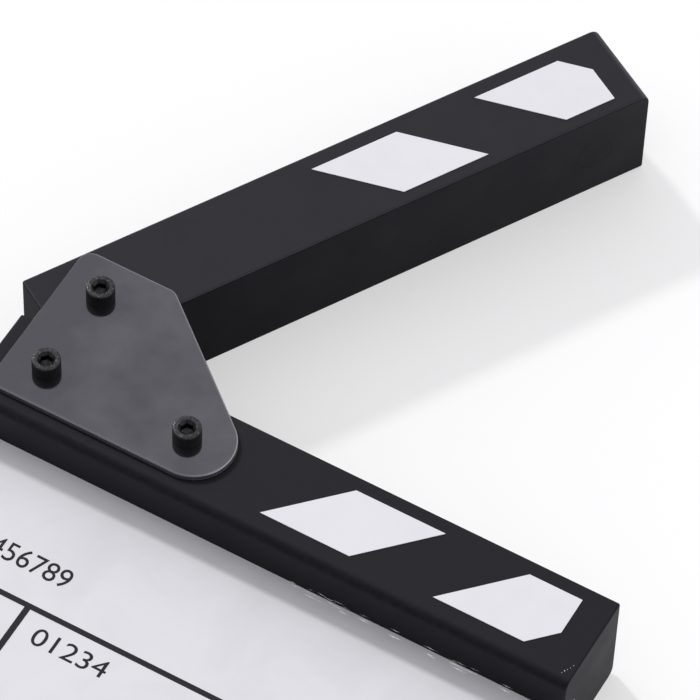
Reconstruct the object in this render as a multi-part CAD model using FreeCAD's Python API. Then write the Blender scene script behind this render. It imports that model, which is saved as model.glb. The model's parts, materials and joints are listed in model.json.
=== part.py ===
import FreeCAD, Part
import math
import os

# A hand clapperboard lying on its back, front face up, in millimetres.
# The origin is the middle of the lower stick's back face. +X runs along the lower stick to its
# free end, +Y from the slate towards the upper stick, +Z out of the front face.
# The upper stick is built parallel to the lower one and then swung open to its rest angle.

# Sticks
stick_length = 165.6
stick_width = 25.0          # upper stick
lower_stick_width = 27.0    # lower stick, with the slate's groove
stick_depth = 29.5
edge_round = 0.6            # long edges of the sticks
end_round = 0.5             # edges round the lower stick's two ends
free_end_round = 3.0        # upper stick's front edge at its free end
soft_round = 2.5            # lower stick's front edge beside the slate, and back edge at the meeting face

# Hinge
pivot_inset = 1.55          # pivot, further in from the upper stick's hinge end than half its width
pivot_drop = 2.15           # pivot, off the upper stick's middle towards its meeting face
hinge_gap = 3.0             # between the meeting faces when parallel; the sticks close onto their free ends
upper_shift = 0.35          # parallel upper stick, further along than the lower stick
hinge_corner_radius = 16.3  # upper stick's corner over the lower stick, rounded so that it can swing
open_angle = 59.6           # rest angle of the upper stick, degrees from parallel

# Slate and the groove that holds it
slate_reach = 100.0         # slate showing below the lower stick
slate_thickness = 3.0
slate_setback = 12.85       # from the lower stick's front face back to the slate's front face
slate_corner = 3.0
slate_edge_round = 0.3
groove_wall = 7.2           # wood left between the groove's floor and the screw holes
groove_side_clearance = 0.05
groove_end_clearance = 0.2

# Hinge plate
plate_thickness = 1.5
plate_margin = 10.6         # from the hole centres to the left, top and bottom edges, and the nose's radius
plate_top_length = 25.5     # top edge, up to where the slant would meet it
plate_nose_reach = 12.5     # from the right hole centre to the plate's right end
plate_corner = 3.6
plate_edge_round = 0.35
plate_screw_spacing = 39.5  # left screw to right screw
plate_screw_rise = 1.65     # plate screws, above the lower stick's middle

# Socket cap screws, nuts and washers
screw_diameter = 4.0
screw_hole_clearance = 0.15
screw_tip_chamfer = 0.5
head_diameter = 7.2
head_height = 4.0
head_round = 0.5
socket_flats = 3.0
socket_depth = 2.2
socket_mouth_clearance = 0.1  # turned mouth of the socket, outside the hexagon's corners
thread_clearance = 0.05
nut_flats = 7.0
nut_height = 3.2
lock_collar_diameter = 6.2
lock_collar_height = 1.8
nut_chamfer_angle = 30.0
washer_diameter = 9.0
washer_thickness = 0.8
nut_recess = 6.5            # depth of the pockets that hide the plate screws' nuts
nut_recess_clearance = 0.5  # round the washer
tip_show = 1.5              # screw tip past a plate screw's nut
pivot_tip_show = 0.9        # screw tip past the lock nut

# Pivot bearing in the upper stick
bush_diameter = 6.0
bush_running_clearance = 0.05
bush_seat_clearance = 0.02
glide_diameter = 9.0
glide_thickness = 1.0
glide_bore_clearance = 0.3
glide_seat_clearance = 0.3
swing_gap = 0.3             # from the plate down to the upper stick's front face

# Magnets
magnet_diameter = 10.0
magnet_thickness = 5.0
magnet_end_inset = 15.0     # from the free ends
magnet_plug_thickness = 2.0
magnet_seat_clearance = 0.05

# White patches on the front faces
patch_thickness = 0.2
patch_margin = 3.9          # from the meeting edge, and from the upper stick's far edge
patch_end_margin = 8.15     # from the lower stick's free end
patch_plate_gap = 13.1      # from the plate's right end to the inner patch
patch_tail = 6.4            # slanted off the outer patch, along its edge furthest from the meeting face
patch_to_space = 1.075      # white to black along the stick
patch_slant = 46.0
upper_patch_drop = 0.5      # upper stick's patches, off its middle towards the meeting face

# Places that follow from the sizes above
hinge_end_x = -stick_length / 2
free_end_x = stick_length / 2
slate_side_y = -lower_stick_width / 2
meeting_y = lower_stick_width / 2
upper_meeting_y = meeting_y + hinge_gap
upper_far_y = upper_meeting_y + stick_width
upper_front_z = stick_depth - swing_gap
upper_hinge_x = hinge_end_x + upper_shift
upper_free_x = free_end_x + upper_shift
pivot_x = upper_hinge_x + stick_width / 2 + pivot_inset
pivot_y = upper_meeting_y + stick_width / 2 - pivot_drop
plate_screw_y = plate_screw_rise
right_screw_x = pivot_x + plate_screw_spacing
plate_end_x = right_screw_x + plate_nose_reach
plate_back_z = stick_depth
plate_front_z = plate_back_z + plate_thickness
screw_hole_diameter = screw_diameter + 2 * screw_hole_clearance
screw_tip_z = nut_recess - washer_thickness - nut_height - tip_show
lock_nut_height = nut_height + lock_collar_height
pivot_recess = screw_tip_z + pivot_tip_show + lock_nut_height + washer_thickness + glide_thickness
nut_recess_diameter = washer_diameter + 2 * nut_recess_clearance
front_glide_seat_z = plate_back_z - glide_thickness
groove_depth = lower_stick_width / 2 + plate_screw_y - screw_hole_diameter / 2 - groove_wall
slate_front_z = stick_depth - slate_setback
slate_back_z = slate_front_z - slate_thickness
magnet_x = free_end_x - magnet_end_inset
magnet_z = stick_depth / 2
magnet_pocket_depth = magnet_thickness + magnet_plug_thickness
inner_patch_x = plate_end_x + patch_plate_gap
patch_end_x = free_end_x - patch_end_margin
patch_space = (patch_end_x - inner_patch_x - patch_tail) / (2 * patch_to_space + 1)
patch_length = patch_to_space * patch_space
outer_patch_x = inner_patch_x + patch_length + patch_space
patch_lean = (stick_width - 2 * patch_margin) / math.tan(math.radians(patch_slant))

x_axis = FreeCAD.Vector(1, 0, 0)
y_axis = FreeCAD.Vector(0, 1, 0)
z_axis = FreeCAD.Vector(0, 0, 1)


def box(x_low, x_high, y_low, y_high, z_low, z_high):
    corner = FreeCAD.Vector(x_low, y_low, z_low)
    return Part.makeBox(x_high - x_low, y_high - y_low, z_high - z_low, corner)


def upright(x, y, z_low, z_high, diameter):
    return Part.makeCylinder(diameter / 2, z_high - z_low, FreeCAD.Vector(x, y, z_low), z_axis)


def hexagon_prism(x, y, z_low, z_high, across_flats):
    radius = across_flats / math.sqrt(3)
    corners = []
    for step in range(7):
        angle = math.radians(60 * step)
        corners.append(FreeCAD.Vector(x + radius * math.cos(angle), y + radius * math.sin(angle), z_low))
    return Part.Face(Part.makePolygon(corners)).extrude(z_axis * (z_high - z_low))


def edges_in_plane(shape, axis, level):
    found = []
    for edge in shape.Edges:
        heights = [vertex.Point.dot(axis) for vertex in edge.Vertexes]
        middle = edge.valueAt((edge.FirstParameter + edge.LastParameter) / 2).dot(axis)
        if all(abs(height - level) < 1e-6 for height in heights + [middle]):
            found.append(edge)
    return found


def upright_edges(shape, x, y):
    found = []
    for edge in shape.Edges:
        if all(math.hypot(vertex.X - x, vertex.Y - y) < 1e-6 for vertex in edge.Vertexes):
            found.append(edge)
    return found


def sharp_edges(shape):
    # Edges whose two faces meet at an angle, leaving out the lines where a rounding runs into a face
    found = []
    for edge in shape.Edges:
        middle = edge.valueAt((edge.FirstParameter + edge.LastParameter) / 2)
        faces = shape.ancestorsOfType(edge, Part.Face)
        first, second = [face.normalAt(*face.Surface.parameter(middle)) for face in faces]
        if first.getAngle(second) > math.radians(10):
            found.append(edge)
    return found


def swung_open(shape):
    turned = shape.copy()
    turned.rotate(FreeCAD.Vector(pivot_x, pivot_y, 0), z_axis, open_angle)
    return turned


def magnet_hole(meeting_face_y, inward, diameter, depth):
    start = FreeCAD.Vector(magnet_x, meeting_face_y, magnet_z)
    return Part.makeCylinder(diameter / 2, depth, start, y_axis * inward)


def lower_stick_profile():
    # Section across the stick, anticlockwise seen from +X, with each corner's rounding
    corners = [
        (slate_side_y, 0.0, edge_round),
        (meeting_y, 0.0, soft_round),
        (meeting_y, stick_depth, edge_round),
        (slate_side_y, stick_depth, soft_round),
    ]
    points = [FreeCAD.Vector(hinge_end_x, y, z) for y, z, rounding in corners]
    solid = Part.Face(Part.makePolygon(points + points[:1])).extrude(x_axis * stick_length)
    for y, z, rounding in corners:
        along = [edge for edge in solid.Edges if runs_along_x(edge, y, z)]
        solid = solid.makeFillet(rounding, along)
    return solid


def runs_along_x(edge, y, z):
    return all(math.hypot(vertex.Y - y, vertex.Z - z) < 1e-6 for vertex in edge.Vertexes)


def make_lower_stick():
    stick = lower_stick_profile()
    for end_x in (hinge_end_x, free_end_x):
        stick = stick.makeFillet(end_round, edges_in_plane(stick, x_axis, end_x))
    groove = box(
        hinge_end_x, free_end_x,
        slate_side_y, slate_side_y + groove_depth,
        slate_back_z - groove_side_clearance, slate_front_z + groove_side_clearance,
    )
    stick = stick.cut(groove)
    for screw_x in (pivot_x, right_screw_x):
        stick = stick.cut(upright(screw_x, plate_screw_y, 0, stick_depth, screw_hole_diameter))
        stick = stick.cut(upright(screw_x, plate_screw_y, 0, nut_recess, nut_recess_diameter))
    pocket_diameter = magnet_diameter + 2 * magnet_seat_clearance
    return stick.cut(magnet_hole(meeting_y, -1, pocket_diameter, magnet_pocket_depth))


def make_upper_stick():
    stick = box(upper_hinge_x, upper_free_x, upper_meeting_y, upper_far_y, 0, upper_front_z)
    free_end = edges_in_plane(stick, x_axis, upper_free_x)
    front_edge = [edge for edge in free_end if edge.BoundBox.ZMin > upper_front_z - edge_round]
    stick = stick.makeFillet(free_end_round, front_edge)
    stick = stick.makeFillet(hinge_corner_radius, upright_edges(stick, upper_hinge_x, upper_meeting_y))
    stick = stick.makeFillet(edge_round, sharp_edges(stick))
    glide_seat_diameter = glide_diameter + 2 * glide_seat_clearance
    bush_hole_diameter = bush_diameter + 2 * bush_seat_clearance
    pocket_diameter = magnet_diameter + 2 * magnet_seat_clearance
    cuts = [
        upright(pivot_x, pivot_y, front_glide_seat_z, upper_front_z, glide_seat_diameter),
        upright(pivot_x, pivot_y, 0, upper_front_z, bush_hole_diameter),
        upright(pivot_x, pivot_y, 0, pivot_recess, nut_recess_diameter),
        magnet_hole(upper_meeting_y, 1, pocket_diameter, magnet_pocket_depth),
    ]
    for cut in cuts:
        stick = stick.cut(cut)
    return swung_open(stick)


def make_slate():
    low_y = slate_side_y - slate_reach
    high_y = slate_side_y + groove_depth - groove_end_clearance
    slate = box(hinge_end_x, free_end_x, low_y, high_y, slate_back_z, slate_front_z)
    for end_x in (hinge_end_x, free_end_x):
        slate = slate.makeFillet(slate_corner, upright_edges(slate, end_x, low_y))
    for level in (slate_back_z, slate_front_z):
        slate = slate.makeFillet(slate_edge_round, edges_in_plane(slate, z_axis, level))
    return slate


def make_hinge_plate():
    left_x = pivot_x - plate_margin
    top_y = pivot_y + plate_margin
    bottom_y = plate_screw_y - plate_margin
    slant_x = left_x + plate_top_length
    nose_x = plate_end_x - plate_margin
    nose_y = plate_screw_y
    # The slant runs from the top edge's right end and touches the nose's circle
    reach = math.hypot(nose_x - slant_x, nose_y - top_y)
    heading = math.atan2(nose_y - top_y, nose_x - slant_x)
    touch = heading + math.pi - math.acos(plate_margin / reach)
    half_way = (touch - math.pi / 2) / 2

    def on_nose(angle):
        along = plate_margin * math.cos(angle)
        return FreeCAD.Vector(nose_x + along, nose_y + plate_margin * math.sin(angle), plate_back_z)

    top_left = FreeCAD.Vector(left_x, top_y, plate_back_z)
    top_right = FreeCAD.Vector(slant_x, top_y, plate_back_z)
    bottom_left = FreeCAD.Vector(left_x, bottom_y, plate_back_z)
    slant_end = on_nose(touch)
    nose_end = on_nose(-math.pi / 2)
    outline = Part.Wire([
        Part.makeLine(bottom_left, top_left),
        Part.makeLine(top_left, top_right),
        Part.makeLine(top_right, slant_end),
        Part.Arc(slant_end, on_nose(half_way), nose_end).toShape(),
        Part.makeLine(nose_end, bottom_left),
    ])
    plate = Part.Face(outline).extrude(z_axis * plate_thickness)
    for corner in (top_left, top_right, bottom_left):
        plate = plate.makeFillet(plate_corner, upright_edges(plate, corner.x, corner.y))
    plate = plate.makeFillet(plate_edge_round, edges_in_plane(plate, z_axis, plate_front_z))
    for x, y in ((pivot_x, pivot_y), (pivot_x, plate_screw_y), (right_screw_x, plate_screw_y)):
        plate = plate.cut(upright(x, y, plate_back_z, plate_front_z, screw_hole_diameter))
    return plate


def make_screw(x, y):
    head_top = plate_front_z + head_height
    head = upright(x, y, plate_front_z, head_top, head_diameter)
    head = head.makeFillet(head_round, edges_in_plane(head, z_axis, head_top))
    head = head.cut(hexagon_prism(x, y, head_top - socket_depth, head_top, socket_flats))
    mouth_radius = socket_flats / math.sqrt(3) + socket_mouth_clearance
    mouth_depth = mouth_radius - socket_flats / 2
    mouth_foot = FreeCAD.Vector(x, y, head_top - mouth_depth)
    head = head.cut(Part.makeCone(socket_flats / 2, mouth_radius, mouth_depth, mouth_foot, z_axis))
    shank = upright(x, y, screw_tip_z, plate_front_z, screw_diameter)
    shank = shank.makeChamfer(screw_tip_chamfer, edges_in_plane(shank, z_axis, screw_tip_z))
    return head.fuse(shank).removeSplitter()


def make_nut(x, y, top_z):
    # Hexagon with its outer corners turned off, the chamfer facing down
    low_z = top_z - nut_height
    across_corners = 2 * nut_flats / math.sqrt(3)
    drop = (across_corners - nut_flats) / 2 * math.tan(math.radians(nut_chamfer_angle))
    turned = upright(x, y, low_z, top_z, across_corners)
    rim = edges_in_plane(turned, z_axis, low_z)
    turned = turned.makeChamfer(drop, (across_corners - nut_flats) / 2, rim)
    nut = hexagon_prism(x, y, low_z, top_z, nut_flats).common(turned)
    return nut.cut(upright(x, y, low_z, top_z, screw_diameter + 2 * thread_clearance))


def make_lock_nut(x, y, top_z):
    collar_top = top_z - nut_height
    collar_low = collar_top - lock_collar_height
    collar = upright(x, y, collar_low, collar_top, lock_collar_diameter)
    collar = collar.makeFillet(head_round, edges_in_plane(collar, z_axis, collar_low))
    collar = collar.cut(upright(x, y, collar_low, collar_top, screw_diameter + 2 * thread_clearance))
    return make_nut(x, y, top_z).fuse(collar).removeSplitter()


def make_ring(x, y, z_low, thickness, outer, inner):
    ring = upright(x, y, z_low, z_low + thickness, outer)
    return ring.cut(upright(x, y, z_low, z_low + thickness, inner))


def make_patch(start_x, meeting_face_y, away, front_z):
    # away is +1 where the stick lies above its meeting face, -1 where it lies below
    near_y = meeting_face_y + away * patch_margin
    far_y = meeting_face_y + away * (stick_width - patch_margin)
    corners = [
        FreeCAD.Vector(start_x, far_y, front_z),
        FreeCAD.Vector(start_x + patch_length, far_y, front_z),
        FreeCAD.Vector(start_x + patch_length + patch_lean, near_y, front_z),
        FreeCAD.Vector(start_x + patch_lean, near_y, front_z),
    ]
    slanted = Part.Face(Part.makePolygon(corners + corners[:1])).extrude(z_axis * patch_thickness)
    field = box(
        hinge_end_x, patch_end_x,
        min(near_y, far_y), max(near_y, far_y),
        front_z, front_z + patch_thickness,
    )
    return slanted.common(field)


def make_parts():
    parts = {
        "lower_stick": make_lower_stick(),
        "upper_stick": make_upper_stick(),
        "slate_board": make_slate(),
        "hinge_plate": make_hinge_plate(),
    }

    # Plate screws, with their washers and nuts in the lower stick's back face
    for name, screw_x in (("left_plate", pivot_x), ("right_plate", right_screw_x)):
        washer_z = nut_recess - washer_thickness
        parts[name + "_screw"] = make_screw(screw_x, plate_screw_y)
        parts[name + "_washer"] = make_ring(
            screw_x, plate_screw_y, washer_z, washer_thickness, washer_diameter, screw_hole_diameter)
        parts[name + "_nut"] = make_nut(screw_x, plate_screw_y, washer_z)

    # Pivot screw, with what turns on it and what holds it at the back
    glide_bore = screw_diameter + 2 * glide_bore_clearance
    bush_bore = screw_diameter + 2 * bush_running_clearance
    bush_length = front_glide_seat_z - pivot_recess
    rear_glide_z = pivot_recess - glide_thickness
    pivot_washer_z = rear_glide_z - washer_thickness
    parts["pivot_screw"] = make_screw(pivot_x, pivot_y)
    parts["front_glide"] = make_ring(
        pivot_x, pivot_y, front_glide_seat_z, glide_thickness, glide_diameter, glide_bore)
    parts["pivot_bush"] = make_ring(
        pivot_x, pivot_y, pivot_recess, bush_length, bush_diameter, bush_bore)
    parts["rear_glide"] = make_ring(
        pivot_x, pivot_y, rear_glide_z, glide_thickness, glide_diameter, glide_bore)
    parts["pivot_washer"] = make_ring(
        pivot_x, pivot_y, pivot_washer_z, washer_thickness, washer_diameter, screw_hole_diameter)
    parts["pivot_lock_nut"] = make_lock_nut(pivot_x, pivot_y, pivot_washer_z)

    # Magnets face each other across the closed sticks, each behind its plug
    lower_magnet_y = meeting_y - magnet_plug_thickness
    upper_magnet_y = upper_meeting_y + magnet_plug_thickness
    parts["lower_magnet"] = magnet_hole(lower_magnet_y, -1, magnet_diameter, magnet_thickness)
    parts["lower_magnet_plug"] = magnet_hole(meeting_y, -1, magnet_diameter, magnet_plug_thickness)
    parts["upper_magnet"] = swung_open(magnet_hole(upper_magnet_y, 1, magnet_diameter, magnet_thickness))
    parts["upper_magnet_plug"] = swung_open(
        magnet_hole(upper_meeting_y, 1, magnet_diameter, magnet_plug_thickness))

    # Patches, slanted towards each other across the meeting faces so that they pair up when closed
    for name, start_x in (("outer", outer_patch_x), ("inner", inner_patch_x)):
        parts["lower_" + name + "_patch"] = make_patch(start_x, meeting_y, -1, stick_depth)
        upper_patch = make_patch(start_x, upper_meeting_y - upper_patch_drop, 1, upper_front_z)
        parts["upper_" + name + "_patch"] = swung_open(upper_patch)
    return parts


os.makedirs("parts", exist_ok=True)
for node, shape in make_parts().items():
    if not shape.isValid() or len(shape.Solids) != 1:
        raise ValueError(node + " is not one valid solid")
    shape.Solids[0].exportStep("parts/" + node + ".step")
    print(node, round(shape.Volume, 1))
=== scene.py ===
import json
import math
import random

import bmesh
import bpy
from mathutils import Matrix, Vector


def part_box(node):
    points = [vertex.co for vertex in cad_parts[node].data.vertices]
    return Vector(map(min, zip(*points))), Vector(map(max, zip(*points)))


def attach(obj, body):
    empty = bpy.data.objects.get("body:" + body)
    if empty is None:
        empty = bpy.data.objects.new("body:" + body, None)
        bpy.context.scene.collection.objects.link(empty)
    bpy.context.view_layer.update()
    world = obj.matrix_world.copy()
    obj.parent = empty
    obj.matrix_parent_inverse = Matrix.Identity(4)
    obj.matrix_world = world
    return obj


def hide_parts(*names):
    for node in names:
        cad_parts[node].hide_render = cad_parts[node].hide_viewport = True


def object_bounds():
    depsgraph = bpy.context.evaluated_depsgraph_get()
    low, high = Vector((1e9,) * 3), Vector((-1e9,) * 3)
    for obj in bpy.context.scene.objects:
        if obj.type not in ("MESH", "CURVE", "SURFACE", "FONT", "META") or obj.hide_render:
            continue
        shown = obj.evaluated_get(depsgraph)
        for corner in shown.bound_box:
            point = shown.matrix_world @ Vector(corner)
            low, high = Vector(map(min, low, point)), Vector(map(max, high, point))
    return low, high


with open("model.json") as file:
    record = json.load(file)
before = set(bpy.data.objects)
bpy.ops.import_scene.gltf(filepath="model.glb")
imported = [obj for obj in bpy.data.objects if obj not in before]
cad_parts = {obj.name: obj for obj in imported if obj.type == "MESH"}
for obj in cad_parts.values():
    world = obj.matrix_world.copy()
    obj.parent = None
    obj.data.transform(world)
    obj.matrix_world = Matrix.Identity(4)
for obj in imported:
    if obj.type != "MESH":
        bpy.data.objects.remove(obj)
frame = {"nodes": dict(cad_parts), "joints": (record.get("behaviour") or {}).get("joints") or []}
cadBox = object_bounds()
mm = 0.001
rootBody = "slate_and_lower_stick"
nodes = frame["nodes"]
pivotPoint = Vector(frame["joints"][0]["pos_m"])
openTurn = math.radians(59.6)  # rest angle of the clap stick, from parallel to the lower stick
stickLow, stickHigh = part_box("lower_stick")
slateLow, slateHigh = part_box("slate_board")
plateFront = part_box("hinge_plate")[1].z
noiseSpan = {"From Min": 0.3, "From Max": 0.7}  # most of a noise texture's values lie between these
mottleSpan = {"From Min": 0.35, "From Max": 0.7}  # leaves the lowest values of a noise texture plain
waveBand = 0.31  # about how far apart a wave texture's bands are at scale 1
print("frame loaded:", len(nodes), "nodes")


def linear(hexColour):  # sRGB hex to the linear colour that shaders take
    parts = [int(hexColour[i:i + 2], 16) / 255 for i in (1, 3, 5)]
    return (*[c / 12.92 if c <= 0.04045 else ((c + 0.055) / 1.055) ** 2.4 for c in parts], 1.0)


def add(tree, kind, settings={}, links={}):
    # settings go to sockets or properties, links take a node or a socket
    node = tree.nodes.new("ShaderNode" + kind)
    for name, value in settings.items():
        if isinstance(name, int) or name in node.inputs:
            node.inputs[name].default_value = value
        else:
            setattr(node, name, value)
    for name, source in links.items():
        socket = source.outputs[0] if isinstance(source, bpy.types.Node) else source
        tree.links.new(socket, node.inputs[name])
    return node


def startMaterial(name, **values):  # a Principled shader with the values that are the same all over
    material = bpy.data.materials.new(name)
    material.use_nodes = True
    tree = material.node_tree
    tree.nodes.clear()
    shader = add(tree, "BsdfPrincipled", {key.replace("_", " "): value for key, value in values.items()})
    add(tree, "OutputMaterial", {}, {"Surface": shader})
    return material, tree, shader


def millimetres(tree, origin=(0, 0, 0), turn=0.0):  # the piece's own coordinates in mm, turned along it
    return add(
        tree, "Mapping",
        {"vector_type": "TEXTURE", "Location": origin, "Rotation": (0, 0, turn), "Scale": (mm, mm, mm)},
        {"Vector": add(tree, "TexCoord").outputs["Object"]})


def rimMask(tree, flat, wall, fade):  # 1 on rounded rims, 0 on the faces and walls that they join
    normal = add(tree, "SeparateXYZ", {}, {"Vector": add(tree, "TexCoord").outputs["Normal"]})
    upright = add(tree, "Math", {"operation": "ABSOLUTE"}, {0: normal.outputs["Z"]})
    offFace = add(tree, "MapRange", {"From Min": flat, "From Max": flat - fade}, {"Value": upright})
    offWall = add(tree, "MapRange", {"From Min": wall, "From Max": wall + fade}, {"Value": upright})
    return add(tree, "Math", {"operation": "MULTIPLY"}, {0: offFace, 1: offWall})


def edgeMask(tree, widthMm, start, full):
    # 0 on flats, 1 on sharp edges, from how far the normal leans near them
    rounded = add(tree, "Bevel", {"samples": 6, "Radius": widthMm * mm})
    true = add(tree, "NewGeometry")
    facing = add(tree, "VectorMath", {"operation": "DOT_PRODUCT"}, {0: rounded, 1: true.outputs["Normal"]})
    return add(tree, "MapRange", {"From Min": 1 - start, "From Max": 1 - full},
               {"Value": facing.outputs["Value"]})


def join(tree, shader, links):
    for name, source in links.items():
        tree.links.new(source.outputs[0], shader.inputs[name])


# Camera at the photograph's angle

cameraLook = {
    "azimuth": 27.84, "elevation": 54.18, "roll": 2.31,
    "targetMm": (-8.53, 44.80), "distanceMm": 1347.6,  # target on the sticks' front faces
    "lensMm": 285.26, "sensorMm": 36.0, "clipM": (0.01, 100),
}


def makeCamera(look):
    around, above = math.radians(look["azimuth"]), math.radians(look["elevation"])
    roll = math.radians(look["roll"])
    back = Vector((
        math.cos(above) * math.sin(around), -math.cos(above) * math.cos(around), math.sin(above)))
    level = Vector((math.cos(around), math.sin(around), 0))
    up = back.cross(level)
    right = level * math.cos(roll) + up * math.sin(roll)
    top = up * math.cos(roll) - level * math.sin(roll)
    target = Vector((look["targetMm"][0] * mm, look["targetMm"][1] * mm, stickHigh.z))
    data = bpy.data.cameras.new("camera")
    data.lens, data.sensor_width = look["lensMm"], look["sensorMm"]
    data.clip_start, data.clip_end = look["clipM"]
    camera = bpy.data.objects.new("camera", data)
    bpy.context.scene.collection.objects.link(camera)
    turn = Matrix((right, top, back)).transposed()
    camera.matrix_world = Matrix.Translation(target + back * look["distanceMm"] * mm) @ turn.to_4x4()
    bpy.context.scene.camera = camera


makeCamera(cameraLook)
print("camera placed")

# Studio: pale floor, one soft key from the left, a bright dome that is dimmer round the camera

studio = {
    "floorRadius": 8.0, "floorSides": 96, "floorColour": "#fcfcfc", "shadowLift": 0.45,
    "keyFrom": (-0.72, 0.32, 0.62), "keyAngle": 4.6, "keyStrength": 1.34,
    "domeAxis": (0.20, -0.93, 0.30), "domeFade": (0.15, 0.90), "domeFar": "#fafafd", "domeNear": "#acacb0",
}


def makeStudio(look):
    world = bpy.data.worlds.new("studio")
    bpy.context.scene.world = world
    world.use_nodes = True
    tree = world.node_tree
    tree.nodes.clear()
    direction = add(tree, "TexCoord")
    axis = Vector(look["domeAxis"]).normalized()
    along = add(tree, "VectorMath", {"operation": "DOT_PRODUCT", 1: axis},
                {0: direction.outputs["Generated"]})
    low, high = look["domeFade"]
    fade = add(tree, "MapRange", {"interpolation_type": "SMOOTHSTEP", "From Min": low, "From Max": high},
               {"Value": along.outputs["Value"]})
    colour = add(tree, "MixRGB", {"Color1": linear(look["domeFar"]), "Color2": linear(look["domeNear"])},
                 {"Fac": fade})
    light = add(tree, "Background", {"Strength": 1.0}, {"Color": colour})
    add(tree, "OutputWorld", {}, {"Surface": light})

    key = bpy.data.lights.new("key", "SUN")
    key.angle, key.energy = math.radians(look["keyAngle"]), look["keyStrength"]
    lamp = bpy.data.objects.new("key", key)
    lamp.rotation_mode = "QUATERNION"
    lamp.rotation_quaternion = Vector(look["keyFrom"]).to_track_quat("Z", "Y")
    bpy.context.scene.collection.objects.link(lamp)

    mesh = bpy.data.meshes.new("floor")
    shape = bmesh.new()
    bmesh.ops.create_circle(shape, cap_ends=True, segments=look["floorSides"], radius=look["floorRadius"])
    shape.to_mesh(mesh)
    shape.free()
    floor = bpy.data.objects.new("floor", mesh)
    floor.location.z = cadBox[0].z
    bpy.context.scene.collection.objects.link(floor)
    paint, floorTree, shader = startMaterial(
        "matt white floor paint",
        Base_Color=linear(look["floorColour"]), Roughness=1.0, Specular_IOR_Level=0.0)
    rays = add(floorTree, "LightPath")  # the floor as seen is part plain white, which lightens the shadow
    seen = add(floorTree, "Math", {"operation": "MAXIMUM"},
               {0: rays.outputs["Is Camera Ray"], 1: rays.outputs["Is Glossy Ray"]})
    seen = add(floorTree, "Math", {"operation": "MAXIMUM"},
               {0: seen, 1: rays.outputs["Is Transmission Ray"]})
    share = add(floorTree, "Math", {"operation": "MULTIPLY", 1: look["shadowLift"]}, {0: seen})
    white = add(floorTree, "Emission", {"Color": linear("#ffffff"), "Strength": 1.0})
    surface = add(floorTree, "MixShader", {}, {0: share, 1: shader, 2: white})
    floorTree.links.new(surface.outputs[0], floorTree.nodes["Material Output"].inputs["Surface"])
    mesh.materials.append(paint)


makeStudio(studio)
bpy.context.scene.view_settings.view_transform = "Standard"
print("studio lit")

# Materials; a setting that ends in From gives the values at which a mark starts and is full

lacquer = {
    "lower": "#030308", "upper": "#07070e", "bloom": "#0c0c13", "rubbedAndHighlit": "#3a3735",
    "bareWood": "#86694c", "pocketGrain": "#5e4631", "sheenTint": "#f6f2ff",
    "lowerIor": 1.352, "upperIor": 1.408, "roughness": (0.56, 0.66),
    "lowerSheen": (0.5, 0.39), "upperSheen": (0.5, 0.9),  # on the faces and on the rounded edges
    "lowerWallSheen": (0.46, 0.41), "upperWallSheen": (0.11, 0.27),  # at the hinge end and the free end
    "lowerEndsMm": (-70.0, 70.0), "upperEndsMm": (15.0, 145.0),  # these two ends, along the stick
    "lowerRim": (0.97, 0.0, 0.4), "upperRim": (0.995, 0.45, 0.15),  # upright limits of a rounded edge, fade
    "lowerWall": (0.0, 0.3), "upperWall": (0.45, 0.65),  # how upright a wall ends and a face begins
    "pocketMm": 5.05, "pocketDepthMm": 10.0,
    "poreMm": 0.35, "poreLengthMm": 9.0, "poreDepthMm": 0.03, "peelMm": 0.9, "peelDepthMm": 0.02,
    "bloomMm": 14.0, "bloomFrom": (0.40, 0.75), "rubMm": 1.6, "rubFrom": (0.42, 0.75), "rub": 0.15,
    "chipMm": 3.2, "chipFrom": (0.72, 0.76),
}


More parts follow.
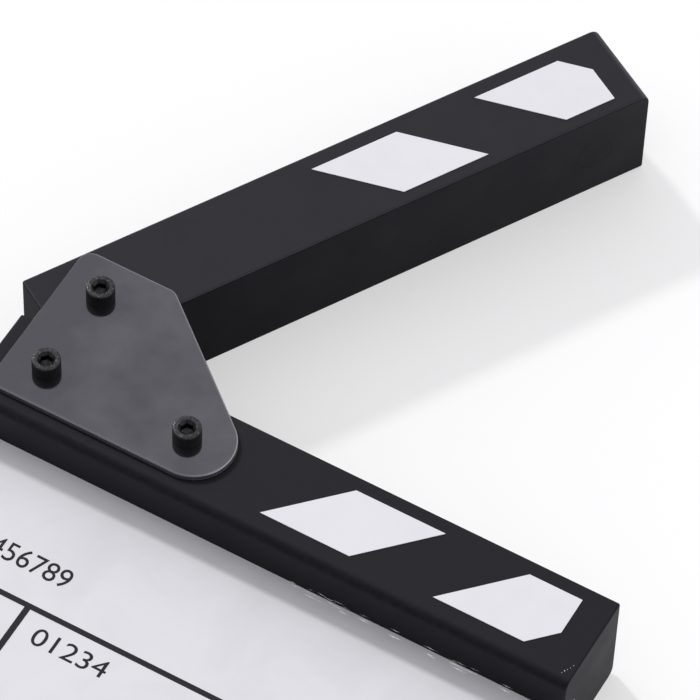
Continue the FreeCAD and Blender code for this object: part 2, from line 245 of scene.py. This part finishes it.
def blackLacqueredWood(name, look, side, pockets, origin=(0, 0, 0), turn=0.0):
    # Close-grained hardwood, sprayed matt black: near black with a dull grey sheen that differs between
    # faces, edges and walls, faint pores along the stick, a greyer rub on the edges, a few pin chips that
    # show the wood, and bare wood in the drilled nut pockets
    material, tree, shader = startMaterial(
        name, IOR=look[side + "Ior"], Specular_Tint=linear(look["sheenTint"]))
    where = millimetres(tree, origin, turn)
    stretch = (look["poreMm"] / look["poreLengthMm"], 1, 1)
    lengthwise = add(tree, "VectorMath", {"operation": "MULTIPLY", 1: stretch}, {0: where})
    pores = add(tree, "TexNoise", {"Scale": 1 / look["poreMm"], "Detail": 2.0, "Roughness": 0.55},
                {"Vector": lengthwise})
    peel = add(tree, "TexNoise", {"Scale": 1 / look["peelMm"], "Detail": 2.0}, {"Vector": where})
    bloom = add(tree, "TexNoise", {"Scale": 1 / look["bloomMm"], "Detail": 4.0, "Roughness": 0.6},
                {"Vector": where})
    rubNoise = add(tree, "TexNoise", {"Scale": 1 / look["rubMm"], "Detail": 3.0}, {"Vector": where})
    chipNoise = add(tree, "TexNoise", {"Scale": 1 / look["chipMm"], "Detail": 4.0, "Roughness": 0.7},
                    {"Vector": where})
    edge = rimMask(tree, *look[side + "Rim"])
    start, full = look["rubFrom"]
    rub = add(tree, "MapRange", {"From Min": start, "From Max": full, "To Max": look["rub"]},
              {"Value": rubNoise})
    rubbedAndHighlit = add(tree, "Math", {"operation": "MULTIPLY"}, {0: edge, 1: rub})
    start, full = look["chipFrom"]
    chip = add(tree, "MapRange", {"From Min": start, "From Max": full}, {"Value": chipNoise})
    chipped = add(tree, "Math", {"operation": "MULTIPLY"}, {0: edge, 1: chip})
    start, full = look["bloomFrom"]
    haze = add(tree, "MapRange", {"From Min": start, "From Max": full}, {"Value": bloom})
    colour = add(tree, "MixRGB", {"Color1": linear(look[side]), "Color2": linear(look["bloom"])},
                 {"Fac": haze})
    colour = add(tree, "MixRGB", {"Color2": linear(look["rubbedAndHighlit"])}, {"Fac": rubbedAndHighlit, "Color1": colour})
    bare = chipped
    ground = add(tree, "VectorMath", {"operation": "MULTIPLY", 1: (1, 1, 0)}, {0: where})
    along = add(tree, "SeparateXYZ", {}, {"Vector": where})
    nearBack = add(tree, "Math", {"operation": "LESS_THAN", 1: look["pocketDepthMm"]},
                   {0: along.outputs["Z"]})
    for x, y in pockets:
        away = add(tree, "VectorMath", {"operation": "DISTANCE", 1: (x, y, 0)}, {0: ground})
        near = add(tree, "Math", {"operation": "LESS_THAN", 1: look["pocketMm"]},
                   {0: away.outputs["Value"]})
        pocket = add(tree, "Math", {"operation": "MULTIPLY"}, {0: near, 1: nearBack})
        bare = add(tree, "Math", {"operation": "MAXIMUM"}, {0: bare, 1: pocket})
    wood = add(tree, "MixRGB", {"Color1": linear(look["bareWood"]), "Color2": linear(look["pocketGrain"])},
               {"Fac": pores})
    colour = add(tree, "MixRGB", {}, {"Fac": bare, "Color1": colour, "Color2": wood})
    smooth, dull = look["roughness"]
    rough = add(tree, "MapRange", {**noiseSpan, "To Min": smooth, "To Max": dull}, {"Value": bloom})
    faceSheen, rimSheen = look[side + "Sheen"]
    hingeEnd, freeEnd = look[side + "EndsMm"]
    hingeSheen, freeSheen = look[side + "WallSheen"]
    wallSheen = add(
        tree, "MapRange",
        {"From Min": hingeEnd, "From Max": freeEnd, "To Min": hingeSheen, "To Max": freeSheen},
        {"Value": along.outputs["X"]})
    facing = add(tree, "SeparateXYZ", {}, {"Vector": add(tree, "TexCoord").outputs["Normal"]})
    upright = add(tree, "Math", {"operation": "ABSOLUTE"}, {0: facing.outputs["Z"]})
    steep, level = look[side + "Wall"]
    onWalls = add(tree, "MapRange", {"From Min": steep, "From Max": level, "To Max": faceSheen},
                  {"Value": upright, "To Min": wallSheen})
    sheen = add(tree, "Math", {"operation": "MULTIPLY_ADD", 1: rimSheen - faceSheen}, {0: edge, 2: onWalls})
    grain = add(tree, "Bump", {"Strength": 0.35, "Distance": look["poreDepthMm"] * mm}, {"Height": pores})
    finish = add(tree, "Bump", {"Strength": 0.25, "Distance": look["peelDepthMm"] * mm},
                 {"Height": peel, "Normal": grain})
    join(tree, shader, {
        "Base Color": colour, "Roughness": rough, "Specular IOR Level": sheen, "Normal": finish})
    return material


acrylic = {
    "white": "#dfdee2", "wiped": "#d9d8dc", "ior": 1.49, "roughness": (0.06, 0.16), "dullFrom": (0.3, 0.8),
    "wipeMm": 22.0, "wipeFrom": (0.42, 0.72), "wipeTurns": (0.45, -0.9),  # two directions of wiping
    "hairlineMm": 0.25, "hairlineLengthMm": 30.0, "hairlineFrom": (0.66, 0.74), "hairlineDepth": 0.25,
    "sawMm": 0.5, "sawnFrom": (0.5, 0.2), "sawnDullness": 0.3,  # sawn where a face stands this steeply
    "depthMm": 0.02,
}


def whiteCastAcrylic(look):
    # Cast acrylic sheet, polished faces and sawn edges: clean bright white, soft mirror gloss, faint wiped
    # marker haze and hairline scratches; the edges are duller with fine saw lines
    material, tree, shader = startMaterial("cast acrylic sheet, polished", IOR=look["ior"])
    where = millimetres(tree)
    wipe = add(
        tree, "TexNoise", {"Scale": 1 / look["wipeMm"], "Detail": 5.0, "Roughness": 0.6, "Distortion": 0.8},
        {"Vector": where})
    start, full = look["wipeFrom"]
    haze = add(tree, "MapRange", {"From Min": start, "From Max": full}, {"Value": wipe})
    colour = add(tree, "MixRGB", {"Color1": linear(look["white"]), "Color2": linear(look["wiped"])},
                 {"Fac": haze})
    stretch = (look["hairlineMm"] / look["hairlineLengthMm"], 1, 1)
    start, full = look["hairlineFrom"]
    lines = None
    for turn in look["wipeTurns"]:
        turned = add(tree, "VectorRotate", {"rotation_type": "Z_AXIS", "Angle": turn}, {"Vector": where})
        drawn = add(tree, "VectorMath", {"operation": "MULTIPLY", 1: stretch}, {0: turned})
        hair = add(tree, "TexNoise", {"Scale": 1 / look["hairlineMm"], "Detail": 1.0}, {"Vector": drawn})
        thin = add(tree, "MapRange", {"From Min": start, "From Max": full}, {"Value": hair})
        lines = thin if lines is None else add(tree, "Math", {"operation": "MAXIMUM"}, {0: lines, 1: thin})
    smooth, dull = look["roughness"]
    start, full = look["dullFrom"]
    rough = add(tree, "MapRange", {"From Min": start, "From Max": full, "To Min": smooth, "To Max": dull},
                {"Value": wipe})
    facing = add(tree, "SeparateXYZ", {}, {"Vector": add(tree, "NewGeometry").outputs["True Normal"]})
    flat = add(tree, "Math", {"operation": "ABSOLUTE"}, {0: facing.outputs["Z"]})
    start, full = look["sawnFrom"]
    sawn = add(tree, "MapRange", {"From Min": start, "From Max": full}, {"Value": flat})
    edgeRough = add(tree, "Math", {"operation": "MULTIPLY_ADD", 1: look["sawnDullness"]},
                    {0: sawn, 2: rough})
    saw = add(
        tree, "TexWave",
        {"bands_direction": "DIAGONAL", "Scale": waveBand / look["sawMm"], "Distortion": 1.5},
        {"Vector": where})
    sawHeight = add(tree, "Math", {"operation": "MULTIPLY"}, {0: saw.outputs["Fac"], 1: sawn})
    height = add(tree, "Math", {"operation": "MULTIPLY_ADD", 1: -look["hairlineDepth"]},
                 {0: lines, 2: sawHeight})
    finish = add(tree, "Bump", {"Strength": 0.3, "Distance": look["depthMm"] * mm}, {"Height": height})
    join(tree, shader, {"Base Color": colour, "Roughness": edgeRough, "Normal": finish})
    return material


nickel = {
    # the rim colour is a painted highlight along the plate's edges
    "dark": "#646369", "cloud": "#58575d", "rim": "#9b9aa0", "metallic": 0.92, "roughness": (0.07, 0.13),
    "rimMm": 0.5, "rolledRim": (0.985, 0.12, 0.06), "sharpRim": (0.002, 0.03),
    "cloudMm": 12.0, "rollMm": 0.22, "rollLengthMm": 12.0, "rollDepthMm": 0.004,
    "waveMm": 6.0, "waveDepthMm": 0.02,
    # where the painted rim highlight fades out, and where painted shade darkens the hinge end
    "highlightAlongMm": (-78.5, -74.5), "hingeShadeMm": (-80.0, -56.0), "hingeShade": 0.8,  # along it from the hinge end
    "highlightAcrossMm": (-8.95, -5.0), "slateSideHighlight": 0.5,  # up it from the slate side
    "shearedFrom": (0.3, 0.1), "sheared": 0.9,  # where the sheet's own edge stands this steeply
}


def darkNickelSteel(look):
    # Pressed steel sheet, dark nickel plated: grey mirror, slightly cloudy, with a rough sheared edge and a
    # rim made lighter as a painted highlight, less so on the slate side, and painted shade at the darker
    # hinge end
    material, tree, shader = startMaterial("pressed steel, dark nickel plated", Metallic=look["metallic"])
    where = millimetres(tree)
    cloud = add(tree, "TexNoise", {"Scale": 1 / look["cloudMm"], "Detail": 4.0, "Roughness": 0.6},
                {"Vector": where})
    stretch = (look["rollMm"] / look["rollLengthMm"], 1, 1)
    drawn = add(tree, "VectorMath", {"operation": "MULTIPLY", 1: stretch}, {0: where})
    lines = add(tree, "TexNoise", {"Scale": 1 / look["rollMm"], "Detail": 2.0}, {"Vector": drawn})
    wave = add(tree, "TexNoise", {"Scale": 1 / look["waveMm"], "Detail": 1.0}, {"Vector": where})
    along = add(tree, "SeparateXYZ", {}, {"Vector": where})
    start, end = look["highlightAlongMm"]
    highlightAlong = add(tree, "MapRange", {"From Min": start, "From Max": end}, {"Value": along.outputs["X"]})
    # painted shade: the plate turns darker towards the hinge end, mixed in with its random clouds
    start, end = look["hingeShadeMm"]
    hingeShade = add(
        tree, "MapRange", {"From Min": start, "From Max": end, "To Min": look["hingeShade"], "To Max": 0.0},
        {"Value": along.outputs["X"]})
    clouds = add(tree, "MapRange", mottleSpan, {"Value": cloud})
    haze = add(tree, "Math", {"operation": "ADD", "use_clamp": True}, {0: clouds, 1: hingeShade})
    colour = add(tree, "MixRGB", {"Color1": linear(look["dark"]), "Color2": linear(look["cloud"])},
                 {"Fac": haze})
    # painted highlight: the rim is lighter, less so towards the hinge end and on the slate side
    rolledRim = rimMask(tree, *look["rolledRim"])
    sharpRim = edgeMask(tree, look["rimMm"], *look["sharpRim"])
    rim = add(tree, "Math", {"operation": "MAXIMUM"}, {0: rolledRim, 1: sharpRim})
    start, end = look["highlightAcrossMm"]
    highlightAcross = add(tree, "MapRange", {"From Min": start, "From Max": end, "To Min": look["slateSideHighlight"]},
                  {"Value": along.outputs["Y"]})
    highlightShare = add(tree, "Math", {"operation": "MULTIPLY"}, {0: highlightAlong, 1: highlightAcross})
    rubbedAndHighlit = add(tree, "Math", {"operation": "MULTIPLY"}, {0: rim, 1: highlightShare})
    colour = add(tree, "MixRGB", {"Color2": linear(look["rim"])}, {"Fac": rubbedAndHighlit, "Color1": colour})
    smooth, dull = look["roughness"]
    rough = add(tree, "MapRange", {**noiseSpan, "To Min": smooth, "To Max": dull}, {"Value": cloud})
    facing = add(tree, "SeparateXYZ", {}, {"Vector": add(tree, "TexCoord").outputs["Normal"]})
    upright = add(tree, "Math", {"operation": "ABSOLUTE"}, {0: facing.outputs["Z"]})
    start, full = look["shearedFrom"]
    sheared = add(tree, "MapRange", {"From Min": start, "From Max": full, "To Max": look["sheared"]},
                  {"Value": upright})
    rough = add(tree, "Math", {"operation": "MAXIMUM"}, {0: rough, 1: sheared})
    rolled = add(tree, "Bevel", {"samples": 8, "Radius": look["rimMm"] * mm})
    sheet = add(tree, "Bump", {"Strength": 0.25, "Distance": look["waveDepthMm"] * mm},
                {"Height": wave, "Normal": rolled})
    finish = add(tree, "Bump", {"Strength": 0.08, "Distance": look["rollDepthMm"] * mm},
                 {"Height": lines, "Normal": sheet})
    join(tree, shader, {"Base Color": colour, "Roughness": rough, "Normal": finish})
    return material


metals = {
    # Cold-headed alloy steel, black oxide: sooty charcoal, greyer where handling has rubbed the edges, with
    # a painted highlight on the tops in scuffed spots
    "cold-headed steel, black oxide": {
        "colour": "#3f3f41", "patch": "#2f2f31", "edge": "#a9a8ac", "hollowShade": "#3f3f41", "topWearAndHighlight": 0.30,
        "scuffsAndGlints": (0.56, 0.68, 0.0), "roughness": (0.34, 0.50), "grainMm": 0.6},
    # Pressed steel, bright zinc plate: cool silver with a faint yellow-blue bloom
    "pressed steel, bright zinc": {
        "colour": "#b4b8bc", "patch": "#a6a38f", "edge": "#d3d5d8", "hollowShade": "#6b6b66", "topWearAndHighlight": 0.0,
        "scuffsAndGlints": (0.35, 0.62, 0.2), "roughness": (0.22, 0.36), "grainMm": 1.2},
    # Brass, turned from bar: warm yellow, browner in patches, with painted shade in its bore
    "brass, turned": {
        "colour": "#bb9450", "patch": "#a5803f", "edge": "#d9bb7c", "hollowShade": "#7a5c2b", "topWearAndHighlight": 0.0,
        "scuffsAndGlints": (0.35, 0.62, 0.2), "roughness": (0.20, 0.34), "grainMm": 0.4},
    # Sintered magnet, nickel plated: warm bright mirror
    "sintered magnet, nickel plated": {
        "colour": "#c4c0b8", "patch": "#b3afa7", "edge": "#d8d5cf", "hollowShade": "#8d8a84", "topWearAndHighlight": 0.0,
        "scuffsAndGlints": (0.35, 0.62, 0.2), "roughness": (0.14, 0.24), "grainMm": 2.0},
}
metalWearAndLight = {
    "edgeMm": 0.25, "edgeFrom": (0.03, 0.30), "topFrom": (0.8, 0.95), "scuffsAndGlintsPerGrain": 1.6,
    "hollowMm": 4.0, "hollowFrom": (0.55, 0.95), "grainDepthMm": 0.01,
}


def metal(name, look, wearAndLight):
    material, tree, shader = startMaterial(name, Metallic=1.0)
    where = millimetres(tree)
    grain = add(tree, "TexNoise", {"Scale": 1 / look["grainMm"], "Detail": 4.0, "Roughness": 0.65},
                {"Vector": where})
    mottle = add(tree, "MapRange", mottleSpan, {"Value": grain})
    colour = add(tree, "MixRGB", {"Color1": linear(look["colour"]), "Color2": linear(look["patch"])},
                 {"Fac": mottle})
    facing = add(tree, "SeparateXYZ", {}, {"Vector": add(tree, "TexCoord").outputs["Normal"]})
    # faces that look up are lighter as a painted highlight, edges lighter as rubbed wear, both in scuffed
    # spots
    start, full = wearAndLight["topFrom"]
    top = add(tree, "MapRange", {"From Min": start, "From Max": full, "To Max": look["topWearAndHighlight"]},
              {"Value": facing.outputs["Z"]})
    edge = edgeMask(tree, wearAndLight["edgeMm"], *wearAndLight["edgeFrom"])
    wornAndHighlit = add(tree, "Math", {"operation": "MAXIMUM"}, {0: top, 1: edge})
    scuffsAndGlints = add(tree, "TexNoise", {"Scale": wearAndLight["scuffsAndGlintsPerGrain"] / look["grainMm"], "Detail": 3.0},
                 {"Vector": where})
    start, full, least = look["scuffsAndGlints"]
    kept = add(tree, "MapRange", {"From Min": start, "From Max": full, "To Min": least}, {"Value": scuffsAndGlints})
    bright = add(tree, "Math", {"operation": "MULTIPLY"}, {0: wornAndHighlit, 1: kept})
    colour = add(tree, "MixRGB", {"Color2": linear(look["edge"])}, {"Fac": bright, "Color1": colour})
    # painted shade: hollows such as sockets, grooves and bores turn darker, from ambient occlusion
    hollow = add(
        tree, "AmbientOcclusion", {"samples": 8, "only_local": True, "Distance": wearAndLight["hollowMm"] * mm})
    start, full = wearAndLight["hollowFrom"]
    clear = add(tree, "MapRange", {"From Min": start, "From Max": full}, {"Value": hollow.outputs["AO"]})
    colour = add(tree, "MixRGB", {"Color1": linear(look["hollowShade"])}, {"Fac": clear, "Color2": colour})
    smooth, dull = look["roughness"]
    rough = add(tree, "MapRange", {**noiseSpan, "To Min": smooth, "To Max": dull}, {"Value": grain})
    finish = add(tree, "Bump", {"Strength": 0.2, "Distance": wearAndLight["grainDepthMm"] * mm}, {"Height": grain})
    join(tree, shader, {"Base Color": colour, "Roughness": rough, "Normal": finish})
    return material


plastics = {
    # Polyamide, moulded: milky off-white, waxy
    "polyamide, moulded": {
        "colour": "#ded8c8", "patch": "#cfc8b6", "roughness": (0.38, 0.5), "grainMm": 1.0, "ior": 1.53},
    # Vinyl film, calendered: flat white with a slight eggshell sheen
    "vinyl film, calendered": {
        "colour": "#e0dfe4", "patch": "#dddce1", "roughness": (0.45, 0.55), "grainMm": 9.0, "ior": 1.52},
    # Solvent ink, screen printed: blue-black with little sheen, a little uneven in coverage
    "solvent ink, screen printed": {
        "colour": "#080714", "patch": "#0e0d1a", "roughness": (0.45, 0.6), "grainMm": 1.5, "ior": 1.36},
    # Acrylic cement, dried with air in it: thin beads, silvery as a mirror
    "acrylic cement, dried": {
        "colour": "#fafafb", "patch": "#f0f0f2", "roughness": (0.2, 0.3), "grainMm": 0.5, "ior": 1.49,
        "silver": 0.9},
}
plasticSkin = {"finePerGrain": 10, "depthMm": 0.01}


def plastic(name, look, skin):
    material, tree, shader = startMaterial(name, IOR=look["ior"], Metallic=look.get("silver", 0.0))
    where = millimetres(tree)
    grain = add(tree, "TexNoise", {"Scale": 1 / look["grainMm"], "Detail": 4.0, "Roughness": 0.6},
                {"Vector": where})
    mottle = add(tree, "MapRange", mottleSpan, {"Value": grain})
    colour = add(tree, "MixRGB", {"Color1": linear(look["colour"]), "Color2": linear(look["patch"])},
                 {"Fac": mottle})
    smooth, dull = look["roughness"]
    rough = add(tree, "MapRange", {**noiseSpan, "To Min": smooth, "To Max": dull}, {"Value": grain})
    fine = add(tree, "TexNoise", {"Scale": skin["finePerGrain"] / look["grainMm"], "Detail": 2.0},
               {"Vector": where})
    finish = add(tree, "Bump", {"Strength": 0.15, "Distance": skin["depthMm"] * mm}, {"Height": fine})
    join(tree, shader, {"Base Color": colour, "Roughness": rough, "Normal": finish})
    return material


finishes = {name: metal(name, look, metalWearAndLight) for name, look in metals.items()}
finishes.update({name: plastic(name, look, plasticSkin) for name, look in plastics.items()})
nutPlaces = [sum(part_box(name), Vector()) / 2 / mm for name in ("left_plate_nut", "right_plate_nut")]
lowerLacquer = blackLacqueredWood(
    "hardwood, matt black lacquer", lacquer, "lower", [nut.xy for nut in nutPlaces])
upperLacquer = blackLacqueredWood(
    "hardwood, matt black lacquer, clap stick", lacquer, "upper", [(0, 0)], pivotPoint, openTurn)

dress = {
    "lower_stick": lowerLacquer, "lower_magnet_plug": lowerLacquer,
    "upper_stick": upperLacquer, "upper_magnet_plug": upperLacquer,
    "slate_board": whiteCastAcrylic(acrylic),
    "hinge_plate": darkNickelSteel(nickel),
    "pivot_bush": finishes["brass, turned"],
}
endings = {
    "_nut": "pressed steel, bright zinc", "_washer": "pressed steel, bright zinc",
    "_glide": "polyamide, moulded", "_magnet": "sintered magnet, nickel plated",
    "_patch": "vinyl film, calendered",
}
for name in nodes:
    for ending, finish in endings.items():
        if name.endswith(ending):
            dress[name] = finishes[finish]
for name, material in dress.items():
    slots = nodes[name].data.materials
    slots.clear()
    slots.append(material)
print("materials made:", len(bpy.data.materials))


def place(name, mesh, material, body):
    mesh.materials.append(material)
    piece = bpy.data.objects.new(name, mesh)
    bpy.context.scene.collection.objects.link(piece)
    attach(piece, body)
    return piece


# Socket cap screws, with the knurl, socket and thread that the plain solids leave out

capScrew = {
    "screws": (  # node, piece, turn in radians
        ("pivot_screw", "pivotCapScrew", 0.30), ("left_plate_screw", "leftCapScrew", 0.82),
        ("right_plate_screw", "rightCapScrew", 0.10),
    ),
    "ridges": 36, "ridgeMm": 0.11, "stepsPerRidge": 4, "ridgeFadeSteps": 2,
    "footMm": 0.2, "roundMm": 0.5, "roundSteps": 5,
    "socketFlatsMm": 3.0, "socketDepthMm": 2.6, "mouthMm": 0.5, "mouthDepthMm": 0.8,
    "drillPointMm": 0.5, "drillTipMm": 0.15,
    "pitchMm": 0.7, "threadMm": 0.36, "threadedMm": 7.0, "stepsPerTurn": 6, "tipMm": 0.5, "shankMm": 4.0,
    "sharpAngle": 28,
}


def screwMesh(node, look, turn):
    low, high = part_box(node)
    middle = (low + high) / 2
    headRadius = (high.x - low.x) / 2
    count = look["ridges"] * look["stepsPerRidge"]
    angles = [2 * math.pi * i / count for i in range(count)]
    flats, depth = look["socketFlatsMm"] * mm, look["socketDepthMm"] * mm
    shank, ridge, rounding = look["shankMm"] / 2 * mm, look["ridgeMm"] * mm, look["roundMm"] * mm

    def circle(radius):
        return [radius] * count

    def knurled(radius, share):  # triangular ridges
        half = look["stepsPerRidge"] / 2
        return [radius - share * ridge * abs(i % look["stepsPerRidge"] - half) / half for i in range(count)]

    def hexagon(acrossFlats):
        sector = math.pi / 3
        return [acrossFlats / 2 / math.cos((a % sector) - sector / 2) for a in angles]

    def threaded(height):
        turns = height / (look["pitchMm"] * mm)
        cuts = [abs(((turns - a / (2 * math.pi)) % 1) * 2 - 1) for a in angles]
        return [shank - look["threadMm"] * mm * cut for cut in cuts]

    # rings of points from the tip up the shank, over the head and down into the socket
    rings = [(low.z, circle(shank - look["tipMm"] * mm))]
    step = look["pitchMm"] * mm / look["stepsPerTurn"]
    steps = round((look["threadedMm"] - look["tipMm"]) * mm / step)
    rings += [(low.z + look["tipMm"] * mm + i * step, threaded(i * step)) for i in range(steps)]
    rings.append((low.z + look["threadedMm"] * mm, circle(shank)))
    rings.append((plateFront, circle(shank)))
    rings.append((plateFront, circle(headRadius - ridge)))
    rings.append((plateFront + look["footMm"] * mm / 2, circle(headRadius - ridge)))
    rings.append((plateFront + look["footMm"] * mm, knurled(headRadius, 1)))
    rings.append((high.z - rounding, knurled(headRadius, 1)))
    for i in range(1, look["roundSteps"] + 1):
        lean = math.pi / 2 * i / look["roundSteps"]
        radius = headRadius - rounding * (1 - math.cos(lean))
        share = max(0, 1 - i / look["ridgeFadeSteps"])
        rings.append((high.z - rounding * (1 - math.sin(lean)), knurled(radius, share)))
    mouth = flats / math.sqrt(3) + look["mouthMm"] * mm
    rings.append((high.z, circle(mouth)))
    rings.append((high.z - look["mouthDepthMm"] * mm, hexagon(flats)))
    rings.append((high.z - depth, hexagon(flats)))
    rings.append((high.z - depth - look["drillPointMm"] * mm, circle(look["drillTipMm"] * mm)))

    shape = bmesh.new()
    loops = []
    for height, radii in rings:
        loops.append([
            shape.verts.new((middle.x + r * math.cos(a + turn), middle.y + r * math.sin(a + turn), height))
            for r, a in zip(radii, angles)])
    for below, above in zip(loops, loops[1:]):
        for i in range(count):
            j = (i + 1) % count
            shape.faces.new((below[i], below[j], above[j], above[i]))
    shape.faces.new(reversed(loops[0]))
    shape.faces.new(loops[-1])
    mesh = bpy.data.meshes.new(node)
    shape.to_mesh(mesh)
    shape.free()
    mesh.polygons.foreach_set("use_smooth", [True] * len(mesh.polygons))
    mesh.set_sharp_from_angle(angle=math.radians(look["sharpAngle"]))
    return mesh


for node, name, turn in capScrew["screws"]:
    mesh = screwMesh(node, capScrew, turn)
    screw = place(name, mesh, finishes["cold-headed steel, black oxide"], rootBody)
    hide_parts(node)
print("screws turned")

# Print on the slate: ruled cells, and plain numbers where a board has its headings

slatePrint = {
    "inkMm": 0.04, "ruleMm": 1.48, "dividerMm": 1.6,
    "rulesMm": (-51.0, -79.9, -96.7),  # heights of the cell rules, from the top down
    "dividersMm": (-41.3, 41.3),  # between the first two rules
    "sideMarginMm": 0.6,
    "headings": (  # number, left edge, baseline, cap height, width, in mm
        ("0123456789", -73.3, -42.8, 5.4, 36.8),
        ("0123", -79.8, -59.9, 5.0, 16.2),
        ("01234", -36.2, -59.9, 5.0, 20.3),
        ("0123", 46.4, -59.9, 5.0, 16.2),
        ("01234567", -79.8, -88.8, 5.0, 32.4),
        ("012345", -79.8, -105.6, 5.0, 24.3),
        ("01234", 5.0, -105.6, 5.0, 20.3),
    ),
}


def bar(shape, left, right, bottom, top, low, high):
    box = bmesh.ops.create_cube(shape, size=1.0)
    size = Vector((right - left, top - bottom, high - low))
    centre = Vector((right + left, top + bottom, high + low)) / 2
    fitted = Matrix.Translation(centre) @ Matrix.Diagonal((*size, 1))
    bmesh.ops.transform(shape, verts=box["verts"], matrix=fitted)


def makePrint(look):
    low, high = slateHigh.z, slateHigh.z + look["inkMm"] * mm
    left, right = slateLow.x + look["sideMarginMm"] * mm, slateHigh.x - look["sideMarginMm"] * mm
    half, reach = look["ruleMm"] / 2 * mm, look["dividerMm"] / 2 * mm
    shape = bmesh.new()
    for height in look["rulesMm"]:
        bar(shape, left, right, height * mm - half, height * mm + half, low, high)
    top, bottom = look["rulesMm"][0] * mm - half, look["rulesMm"][1] * mm + half
    for across in look["dividersMm"]:
        bar(shape, across * mm - reach, across * mm + reach, bottom, top, low, high)
    mesh = bpy.data.meshes.new("slateRules")
    shape.to_mesh(mesh)
    shape.free()
    ink = finishes["solvent ink, screen printed"]
    place("slateRules", mesh, ink, rootBody)

    for index, (number, start, base, cap, width) in enumerate(look["headings"]):
        text = bpy.data.curves.new("slateNumber", "FONT")
        text.body = number
        text.extrude = look["inkMm"] / 2 * mm
        sample = bpy.data.objects.new("slateNumber", text)
        bpy.context.scene.collection.objects.link(sample)
        bpy.context.view_layer.update()
        wide, tall = sample.dimensions.x, sample.dimensions.y
        mesh = bpy.data.meshes.new_from_object(sample)
        lowest = min(v.co.y for v in mesh.vertices)
        first = min(v.co.x for v in mesh.vertices)
        mesh.transform(Matrix.Translation((start * mm, base * mm, (low + high) / 2))
                       @ Matrix.Diagonal((width * mm / wide, cap * mm / tall, 1, 1))
                       @ Matrix.Translation((-first, -lowest, 0)))
        bpy.data.objects.remove(sample)
        place("slateNumber" + str(index + 1), mesh, ink, rootBody)


makePrint(slatePrint)
print("slate printed")

# Beads of dried cement where the slate enters its groove, and a few specks on the front face

cement = {
    "runsMm": ((7.8, 25.4), (27.2, 31.2), (36.0, 39.2), (44.8, 50.0), (50.4, 60.9), (66.1, 67.9)),
    "slateReachMm": (0.3, 1.3), "slateBeadMm": (0.11, 0.19), "slateBeadsPerMm": 0.65, "fewestOnSlate": 2,
    "stickReachMm": (0.3, 1.3), "stickBeadMm": (0.05, 0.09), "stickBeadsPerMm": 0.36, "fewestOnStick": 1,
    "lengthMm": (2.0, 5.0), "stepMm": 0.4, "fewestSteps": 3, "driftMm": 0.05, "seed": 11,
    "slope": 0.36, "taper": 0.75, "backShare": 1 / 3, "sinkMm": 0.02,
    "specks": (  # across, up and radius, in mm
        (80.0, -10.6, 0.09), (80.4, -9.9, 0.15), (80.8, -9.2, 0.09), (81.2, -8.5, 0.08), (81.5, -7.5, 0.11),
    ),
}


def layBead(shape, draw, look, span, reach, beadMm, onStick):  # a low three-sided bead, thin at both ends
    count = max(look["fewestSteps"], round(draw.uniform(*look["lengthMm"]) / look["stepMm"]))
    x = draw.uniform(span[0], max(span[0], span[1] - count * look["stepMm"]))
    off, wide = draw.uniform(*reach), draw.uniform(*beadMm)
    sink, slope, back = look["sinkMm"], look["slope"], look["backShare"]
    rings = []
    for i in range(count):
        size = wide * (1 - look["taper"] * abs(2 * i / (count - 1) - 1))
        if onStick:
            section = ((-sink, off), (size, off - slope * size), (-sink, off - size))
        else:
            section = ((off + size, -sink), (off, slope * size), (off - back * size, -sink))
        rings.append([
            shape.verts.new((x * mm, stickLow.y - out * mm, slateHigh.z + rise * mm))
            for out, rise in section])
        x += look["stepMm"]
        off += draw.uniform(-look["driftMm"], look["driftMm"])
    for here, after in zip(rings, rings[1:]):
        for i in range(3):
            j = (i + 1) % 3
            shape.faces.new((here[i], here[j], after[j], after[i]))
    shape.faces.new(rings[0])
    shape.faces.new(rings[-1])


def makeCement(look):
    draw = random.Random(look["seed"])
    shape = bmesh.new()
    for span in look["runsMm"]:
        length = span[1] - span[0]
        for _ in range(max(look["fewestOnSlate"], round(length * look["slateBeadsPerMm"]))):
            layBead(shape, draw, look, span, look["slateReachMm"], look["slateBeadMm"], False)
        for _ in range(max(look["fewestOnStick"], round(length * look["stickBeadsPerMm"]))):
            layBead(shape, draw, look, span, look["stickReachMm"], look["stickBeadMm"], True)
    for x, y, radius in look["specks"]:
        spot = Matrix.Translation((x * mm, y * mm, stickHigh.z))
        bmesh.ops.create_icosphere(shape, subdivisions=2, radius=radius * mm, matrix=spot)
    bmesh.ops.recalc_face_normals(shape, faces=shape.faces)
    mesh = bpy.data.meshes.new("cementBeads")
    shape.to_mesh(mesh)
    shape.free()
    place("cementBeads", mesh, finishes["acrylic cement, dried"], rootBody)


makeCement(cement)
print("cement laid")
